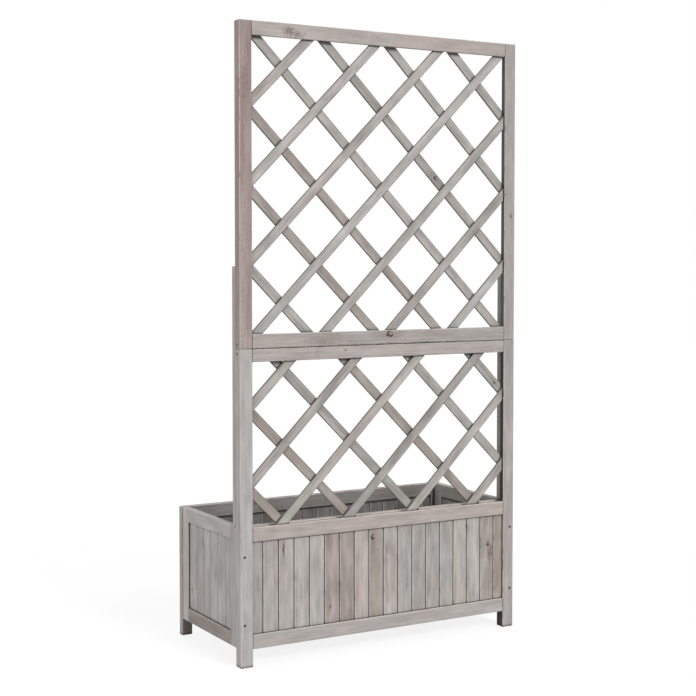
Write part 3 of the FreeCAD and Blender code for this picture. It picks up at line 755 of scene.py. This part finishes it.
# The floor: half its side in metres, its grey as a source of bounced light, and for the camera
# its grey and the glow that brings it up to white.
FLOOR_REACH = 30
FLOOR_BOUNCE = 0.5
FLOOR_SHOWN = 0.17
FLOOR_GLOW = 0.86


def add_object(name, data):
    """A new object in the scene."""
    item = bpy.data.objects.new(name, data)
    bpy.context.scene.collection.objects.link(item)
    return item


def plain_grey(level):
    """A grey with alpha."""
    return (level, level, level, 1)


def seen_directly(tree):
    """1 where light goes straight to the camera, is mirrored or passes through, 0 elsewhere."""
    path = tree.nodes.new("ShaderNodeLightPath")
    rays = ("Is Camera Ray", "Is Glossy Ray", "Is Transmission Ray")
    straight, mirrored, through = [Field(tree, path.outputs[ray]) for ray in rays]
    return straight.highest(mirrored).highest(through)


def pale_floor():
    """A plain white floor that still takes a soft shadow."""
    mesh = bpy.data.meshes.new("floor")
    corners = [(x * FLOOR_REACH, y * FLOOR_REACH, 0) for x, y in ((-1, -1), (1, -1), (1, 1), (-1, 1))]
    mesh.from_pydata(corners, [], [(0, 1, 2, 3)])
    floor = add_object("floor", mesh)
    material, tree = new_material("floor")
    tree.nodes.clear()
    output = tree.nodes.new("ShaderNodeOutputMaterial")
    bounce, shown = [tree.nodes.new("ShaderNodeBsdfDiffuse") for part in range(2)]
    bounce.inputs["Color"].default_value = plain_grey(FLOOR_BOUNCE)
    shown.inputs["Color"].default_value = plain_grey(FLOOR_SHOWN)
    glow = tree.nodes.new("ShaderNodeEmission")
    glow.inputs["Strength"].default_value = FLOOR_GLOW
    both = tree.nodes.new("ShaderNodeAddShader")
    tree.links.new(shown.outputs[0], both.inputs[0])
    tree.links.new(glow.outputs[0], both.inputs[1])
    choose = tree.nodes.new("ShaderNodeMixShader")
    plug(tree, choose.inputs[0], seen_directly(tree))
    tree.links.new(bounce.outputs[0], choose.inputs[1])
    tree.links.new(both.outputs[0], choose.inputs[2])
    tree.links.new(choose.outputs[0], output.inputs["Surface"])
    mesh.materials.append(material)


def sky():
    """White where it is seen, and a plain soft light on the object."""
    world = bpy.data.worlds.new("sky")
    bpy.context.scene.world = world
    world.use_nodes = True
    tree = world.node_tree
    background = tree.nodes["Background"]
    background.inputs["Color"].default_value = plain_grey(1)
    seen = seen_directly(tree)
    plug(tree, background.inputs["Strength"], SKY_LEVEL + seen * (1 - SKY_LEVEL))


def lamps():
    """Suns round the object, each turned to shine at it."""
    for name, (level, soft, turn, high) in LAMPS.items():
        data = bpy.data.lights.new(name, "SUN")
        data.energy = level
        data.angle = math.radians(soft)
        lamp = add_object(name, data)
        turn, high = math.radians(turn), math.radians(high)
        flat = math.cos(high)
        to_lamp = Vector((-math.sin(turn) * flat, -math.cos(turn) * flat, math.sin(high)))
        lamp.rotation_mode = "QUATERNION"
        lamp.rotation_quaternion = to_lamp.to_track_quat("Z", "Y")


def camera():
    """The photograph's camera."""
    data = bpy.data.cameras.new("camera")
    data.sensor_width = SENSOR_WIDE
    data.lens = FOCAL_PIXELS / PICTURE_WIDE * SENSOR_WIDE
    data.shift_y = CAMERA_SHIFT
    item = add_object("camera", data)
    item.location = CAMERA_PLACE
    item.rotation_euler = (math.radians(90 - CAMERA_DIP), 0, -math.radians(CAMERA_TURN))
    bpy.context.scene.camera = item


# -------------------------------------------------------------------------- scene
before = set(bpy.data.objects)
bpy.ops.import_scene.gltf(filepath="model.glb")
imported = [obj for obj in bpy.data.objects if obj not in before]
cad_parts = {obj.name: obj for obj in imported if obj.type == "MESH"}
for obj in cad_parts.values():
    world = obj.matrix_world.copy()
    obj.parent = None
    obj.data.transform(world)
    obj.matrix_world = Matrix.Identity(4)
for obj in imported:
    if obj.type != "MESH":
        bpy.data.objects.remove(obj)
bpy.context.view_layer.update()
camera()
sky()
lamps()
pale_floor()
timbers()
slats()
boards()
fasteners()
bpy.context.scene.view_settings.view_transform = "Standard"
